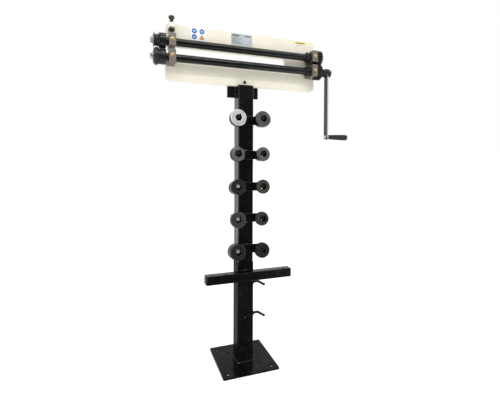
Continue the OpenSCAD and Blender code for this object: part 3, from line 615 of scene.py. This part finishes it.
def make_hub_welds():
    low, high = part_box("crank_arm")
    rings = []
    for x in (low.x - 0.2 * MM, high.x + 0.2 * MM):
        rings.append(ring_path(Vector((x, LOWER_AXIS.y, LOWER_AXIS.z)), X_AXIS, 14.9 * MM))
    weld("crank_hub_weld", "lower_roll", 1.7 * MM, rings)


def peg_heights():
    """Heights of the five peg bars' middles, from their own corners, the lowest first."""
    heights = sorted({round(v.co.z, 4) for v in frame["nodes"]["peg_bars"].data.vertices})
    groups = []
    for z in heights:
        if not groups or z - groups[-1][0] > 0.06:
            groups.append([z])
        groups[-1].append(z)
    return [(min(g) + max(g)) / 2 for g in groups]


def make_thread():
    """The adjusting screw's rolled thread, cut into the plain shank's own radius."""
    shape = bmesh.new()
    pitch, depth, around, step = 1.75 * MM, 0.95 * MM, 48, 0.25 * MM
    rows = int((SCREW_LENGTH - 0.1 * MM) / step)
    loops = []
    for i in range(rows + 1):
        z = 0.1 * MM + i * step
        loop = []
        for k in range(around):
            # Flat crest and root with sloping sides, and an end that is chamfered over its first rows
            phase = (z / pitch - k / around) % 1
            radius = SCREW_R - depth * min(1.0, max(0.0, 2.6 * abs(phase - 0.5) - 0.15))
            radius -= 0.8 * MM * max(0.0, 1 - i / 4)
            angle = 2 * math.pi * k / around
            loop.append(shape.verts.new((radius * math.cos(angle), radius * math.sin(angle), z)))
        loops.append(loop)
    for low, high in zip(loops, loops[1:]):
        for k in range(around):
            shape.faces.new((low[k], low[(k + 1) % around], high[(k + 1) % around], high[k]))
    shape.faces.new(loops[0])
    place = axis_place("adjust_screw", Z_AXIS)
    mesh = mesh_of("adjust_screw_thread", shape)
    link("adjust_screw_thread", mesh, place, MATERIALS["dark_fastener"], "adjust_screw_body")


def set_screw(name, body, place, direction, size):
    """Socket set screw standing just proud of a round face; size is its radius in millimetres."""
    shape = bmesh.new()
    top = 0.15 * MM
    bmesh.ops.create_cone(
        shape, cap_ends=True, segments=24, radius1=size * MM, radius2=size * MM, depth=3 * MM,
        matrix=Matrix.Translation((0, 0, top - 1.5 * MM)))
    cap = max(shape.faces, key=lambda f: f.calc_center_median().z)
    bmesh.ops.inset_region(shape, faces=[cap], thickness=size * 0.42 * MM)
    moved = bmesh.ops.extrude_discrete_faces(shape, faces=[cap])["faces"][0]
    bmesh.ops.translate(shape, verts=moved.verts, vec=(0, 0, -1.6 * MM))
    stance = Matrix.Translation(place) @ axes_from(direction)
    mesh = mesh_of(name, shape, smooth=False)
    link(name, mesh, stance, MATERIALS["dark_fastener"], body)


def set_screw_on(name, body, axis, x, radius, lean, size=2.6):
    """A set screw on a collar round a shaft, with x and radius in millimetres.

    Lean is its angle above the front, in radians.
    """
    out = Vector((0, -math.cos(lean), math.sin(lean)))
    set_screw(name, body, Vector((x * MM, axis.y, axis.z)) + out * radius * MM, out, size)


def make_set_screws():
    for body, axis in (("upper_roll", UPPER_AXIS), ("lower_roll", LOWER_AXIS)):
        set_screw_on(f"{body}_stop_set_screw", body, axis, x=235.5, radius=19, lean=0.9)
        set_screw_on(f"{body}_front_set_screw", body, axis, x=-284.5, radius=24.5, lean=0.5)
    set_screw_on("crank_hub_set_screw", "lower_roll", LOWER_AXIS, x=308, radius=14.5, lean=0.7, size=2.2)


def mark(name, x, z, outline, material, layer=1):
    """A thin printed patch on a label's front, in millimetres; outline is in its plane, from (x, z)."""
    shape = bmesh.new()
    front = -2.3 - 0.03 * layer
    loop = [shape.verts.new(at(x + u, front, z + v)) for u, v in outline]
    back = [shape.verts.new(at(x + u, -2.25, z + v)) for u, v in outline]
    shape.faces.new(loop)
    shape.faces.new(back)
    for i in range(len(loop)):
        shape.faces.new((loop[i], back[i], back[i - 1], loop[i - 1]))
    link(name, mesh_of(name, shape, smooth=False), NO_TURN, material, "mast")


def disc(radius, count=48):
    angles = [2 * math.pi * i / count for i in range(count)]
    return [(radius * math.cos(angle), radius * math.sin(angle)) for angle in angles]


def bar_shape(width, height):
    return [(0, 0), (width, 0), (width, height), (0, height)]


def make_safety_marks():
    left, right, upper, lower = -177.5, -151.5, 1157.8, 1138.2
    for i, (x, z) in enumerate(((left, upper), (right, upper), (left, lower))):
        mark(f"safety_disc_{i}", x, z, disc(8.6), SIGN_BLUE)
        bar = bar_shape(6.4, 3.2)
        mark(f"safety_bar_{i}", x - 3.2, z - 1.6, bar, MATERIALS["label_white"], 2)
    for layer, size, material in ((1, 10, SIGN_INK), (2, 8.2, SIGN_ORANGE)):
        triangle = [(-size, -size * 0.8), (size, -size * 0.8), (0, size * 0.9)]
        mark(f"safety_triangle_{layer}", right, lower, triangle, material, layer)


def make_data_marks():
    left, right, top, pitch = -44, -4, 1152.5, 4
    mark("data_title", left, 1158, bar_shape(26, 6.5), SIGN_INK)
    mark("data_title_right", 2, 1159, bar_shape(22, 4.5), SIGN_INK)
    for row in range(6):
        z = top - row * pitch
        line = bar_shape(24 + 9 * math.sin(row * 2.1), 1.7)
        mark(f"data_line_left_{row}", left, z, line, SIGN_INK)
        line = bar_shape(22 + 6 * math.cos(row * 1.7), 1.2)
        mark(f"data_line_right_{row}", right, z, line, SIGN_SOFT)


def make_notice_marks():
    mark("notice_lower", 201.6, 1150.6, bar_shape(41.8, 8.2), SIGN_PALE)
    mark("notice_bar", 206, 1161, bar_shape(33, 3.6), SIGN_INK)
    mark("notice_line", 207, 1153.6, bar_shape(26, 1.6), SIGN_INK, 2)


def make_oiler_balls():
    front, rear = -256.5 * MM, 253.5 * MM
    places = ((front, LOWER_AXIS, "mast"), (rear, LOWER_AXIS, "mast"))
    places += ((rear, UPPER_AXIS, "mast"), (front, UPPER_AXIS, "front_slide"))
    for i, (x, axis, body) in enumerate(places):
        shape = bmesh.new()
        bmesh.ops.create_uvsphere(shape, u_segments=20, v_segments=12, radius=1.5 * MM)
        place = Matrix.Translation((x, -67.2 * MM, axis.z))
        link(f"oiler_ball_{i}", mesh_of(f"oiler_ball_{i}", shape), place, MATERIALS["zinc"], body)


make_post_welds()
make_bracket_welds()
make_peg_welds()
make_hub_welds()
make_thread()
make_set_screws()
make_safety_marks()
make_data_marks()
make_notice_marks()
make_oiler_balls()


# ---------- camera, floor and light ----------

CAMERA_PLACE = Vector((-0.389, -1.168, 0.714))
CAMERA_YAW = 19.5
CAMERA_PITCH = -1.27
CAMERA_ROLL = 0.2
CAMERA_LENS = 24.7
CAMERA_SHIFT_Y = -0.06
# Brightness of the studio's dark opening and of what lies above it, where the rest is 1
DARK_OPENING = 0.05
ABOVE_OPENING = 0.5
# Place, target, size and power in watts of each soft box
LIGHTS = {
    "key_light": ((-1.1, -2.6, 2.5), (0, 0, 0.9), (1.4, 0.8), 11),
    "top_light": ((0.2, -0.3, 2.6), (0, 0, 0), (1.6, 0.35), 3),
    "strip_light": ((-0.1, -1.5, 2.3), (0, 0, 1.0), (2.2, 0.07), 13),
}


def turn(degrees, axis):
    return Matrix.Rotation(math.radians(degrees), 4, axis)


def make_camera():
    camera = bpy.data.objects.new("camera", bpy.data.cameras.new("camera"))
    camera.data.sensor_width = 36
    camera.data.lens = CAMERA_LENS
    camera.data.shift_y = CAMERA_SHIFT_Y
    camera.data.clip_start = 0.02
    aim = turn(-CAMERA_YAW, "Z") @ turn(90 + CAMERA_PITCH, "X") @ turn(CAMERA_ROLL, "Z")
    camera.matrix_world = Matrix.Translation(CAMERA_PLACE) @ aim
    bpy.context.scene.collection.objects.link(camera)
    bpy.context.scene.camera = camera
    bpy.context.scene.view_settings.view_transform = "Standard"


def make_floor():
    shape = bmesh.new()
    bmesh.ops.create_circle(shape, cap_ends=True, segments=96, radius=60)
    mesh = bpy.data.meshes.new("floor")
    shape.to_mesh(mesh)
    shape.free()
    floor = bpy.data.objects.new("floor", mesh)
    bpy.context.scene.collection.objects.link(floor)
    f = Finish("floor_paint", Specular_IOR_Level=0.1, Emission_Color=rgb(1, 1, 1), Emission_Strength=0.3)
    mottle = f.noise(3, 4)
    f.wire(Base_Color=f.mix(mottle, rgb(0.93, 0.93, 0.93), rgb(0.91, 0.91, 0.91)))
    f.wire(Roughness=f.remap(mottle, 0, 1, 0.6, 0.8))
    floor.data.materials.append(f.material)
    floor.visible_glossy = False


def soft_box(name, place, target, size, power):
    light = bpy.data.lights.new(name, "AREA")
    light.shape = "RECTANGLE"
    light.size, light.size_y = size
    light.energy = power
    lamp = bpy.data.objects.new(name, light)
    lamp.location = place
    lamp.rotation_euler = (Vector(target) - Vector(place)).to_track_quat("-Z", "Y").to_euler()
    bpy.context.scene.collection.objects.link(lamp)


def make_world():
    """A white studio with one dark opening low in front of the object, which the camera never sees."""
    world = bpy.data.worlds.new("studio")
    bpy.context.scene.world = world
    world.use_nodes = True
    tree = world.node_tree
    background = tree.nodes["Background"]
    background.inputs["Color"].default_value = (1, 1, 1, 1)

    def node(kind, inputs, **settings):
        made = tree.nodes.new(kind)
        for key, value in settings.items():
            setattr(made, key, value)
        for key, value in inputs.items():
            if isinstance(value, bpy.types.NodeSocket):
                tree.links.new(value, made.inputs[key])
            else:
                made.inputs[key].default_value = value
        return made

    def fade(value, start, end, out_end):
        inputs = {0: value, 1: start, 2: end, 3: DARK_OPENING, 4: out_end}
        return node("ShaderNodeMapRange", inputs).outputs[0]

    def vector(operation, inputs):
        return node("ShaderNodeVectorMath", inputs, operation=operation).outputs

    direction = node("ShaderNodeTexCoord", {}).outputs["Generated"]
    level = vector("MULTIPLY", {0: direction, 1: (1, 1, 0.3)})["Vector"]
    level = vector("NORMALIZE", {0: level})["Vector"]
    towards = vector("DOT_PRODUCT", {0: level, 1: (0.12, -0.99, 0)})["Value"]
    height = node("ShaderNodeSeparateXYZ", {0: direction}).outputs["Z"]
    aside = fade(towards, 0.955, 0.9, 1.0)
    above = fade(height, 0.17, 0.36, ABOVE_OPENING)
    lit = node("ShaderNodeMath", {0: aside, 1: above}, operation="MAXIMUM").outputs[0]
    seen = node("ShaderNodeLightPath", {}).outputs["Is Camera Ray"]
    strength = node("ShaderNodeMath", {0: lit, 1: seen}, operation="MAXIMUM").outputs[0]
    tree.links.new(strength, background.inputs["Strength"])


make_camera()
make_floor()
make_world()
for name, (place, target, extent, power) in LIGHTS.items():
    soft_box(name, place, target, extent, power)
